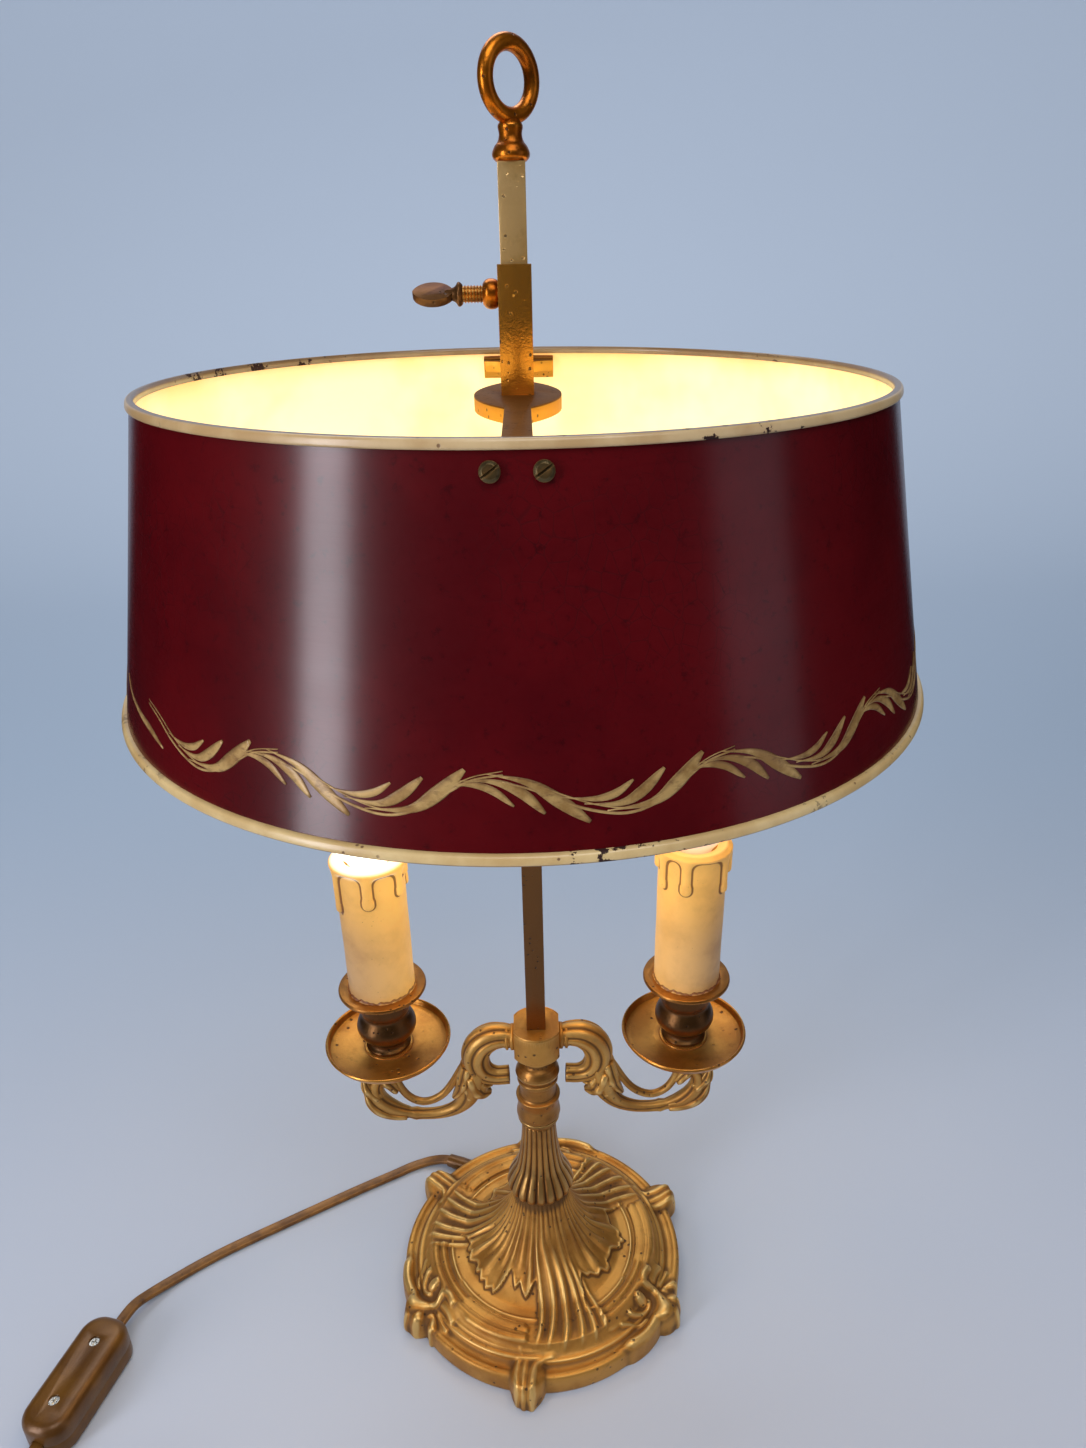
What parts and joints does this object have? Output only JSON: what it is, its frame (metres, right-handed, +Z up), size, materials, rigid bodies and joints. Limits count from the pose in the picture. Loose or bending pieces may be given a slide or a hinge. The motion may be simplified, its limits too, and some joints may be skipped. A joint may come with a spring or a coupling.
{
  "type": "bouillotte table lamp",
  "caption": "Gilt bronze bouillotte lamp with a burgundy tole shade that slides on a square rod, candle lights on scroll arms, a ribbed rocaille base and an inline switch",
  "frame": {"origin": "middle of the underside of the base, on the table, below the axis of the rod", "axes": "+X along the two arms to the right-hand candle, +Y to the rear, +Z up along the rod"},
  "size_m": [0.3987, 0.3643, 0.5624],
  "materials": {
    "gilt_bronze": "aged gilt, dark in the hollows",
    "aged_brass": "aged, worn edges",
    "burgundy_tole": "gloss lacquer with a gold leaf garland, cream inside",
    "cream_enamel": "gloss enamel, chipped",
    "candle_resin": "waxy",
    "opal_glass": "opal",
    "brown_plastic": "metallic brown",
    "black_plastic": "satin",
    "ivory_plastic": "plain",
    "gold_flex": "gold-brown twin flex",
    "felt": "short pile",
    "zinc_steel": "zinc plated"
  },
  "bodies": {
    "stand": {"base_casting": "gilt_bronze", "base_felt": "felt", "cord_bushing": "black_plastic", "terminal_block": "ivory_plastic", "riser_wires": "gold_flex", "tie_tube": "zinc_steel", "tie_washer": "zinc_steel", "tie_nut": "zinc_steel", "fluted_trumpet": "gilt_bronze", "stem_barrel": "gilt_bronze", "arm_hub": "gilt_bronze", "main_rod": "aged_brass", "ring_finial": "aged_brass", "arm_left": "gilt_bronze", "arm_right": "gilt_bronze", "nipple_left": "zinc_steel", "nipple_right": "zinc_steel", "drip_pan_left": "gilt_bronze", "drip_pan_right": "gilt_bronze", "candle_cup_left": "gilt_bronze", "candle_cup_right": "gilt_bronze", "lampholder_left": "black_plastic", "lampholder_right": "black_plastic", "candle_sleeve_left": "candle_resin", "candle_sleeve_right": "candle_resin", "bulb_cap_left": "aged_brass", "bulb_cap_right": "aged_brass", "bulb_glass_left": "opal_glass", "bulb_glass_right": "opal_glass", "cord_lamp_side": "gold_flex", "switch_top_shell": "brown_plastic", "switch_bottom_shell": "brown_plastic", "switch_contacts": "aged_brass", "switch_screws": "zinc_steel", "cord_tail": "gold_flex", "cord_coil": "gold_flex", "cord_plug_lead": "gold_flex", "plug_body": "brown_plastic", "plug_pins": "zinc_steel"},
    "shade": {"slider_tube": "aged_brass", "shade_bracket": "aged_brass", "shade_shell": "burgundy_tole", "top_rim": "cream_enamel", "bottom_rim": "cream_enamel", "bracket_screws": "aged_brass"},
    "screw_shank": {"thumbscrew_shank": "aged_brass"},
    "screw_paddle": {"thumbscrew_paddle": "aged_brass"},
    "rocker": {"switch_rocker": "black_plastic"}
  },
  "joints": [
    {"name": "shade_slide", "type": "slide", "parent": "stand", "child": "shade", "axis": [0, 0, 1], "range_m": [-0.28, 0.027]},
    {"name": "thumbscrew_travel", "type": "slide", "parent": "shade", "child": "screw_shank", "axis": [-1, 0, 0], "range_m": [0, 0.0024]},
    {"name": "thumbscrew_turn", "type": "hinge", "parent": "screw_shank", "child": "screw_paddle", "pos_m": [-0.0178, 0, 0.4895], "axis": [-1, 0, 0], "range_deg": [0, 1080]},
    {"name": "rocker_press", "type": "hinge", "parent": "stand", "child": "rocker", "pos_m": [-0.229, -0.066, 0.0042], "axis": [-0.9613, 0.2756, 0], "range_deg": [0, 12]}
  ],
  "couplings": [
    {"joint": "thumbscrew_turn", "follows": "thumbscrew_travel", "rad_per_m": 7854}
  ]
}
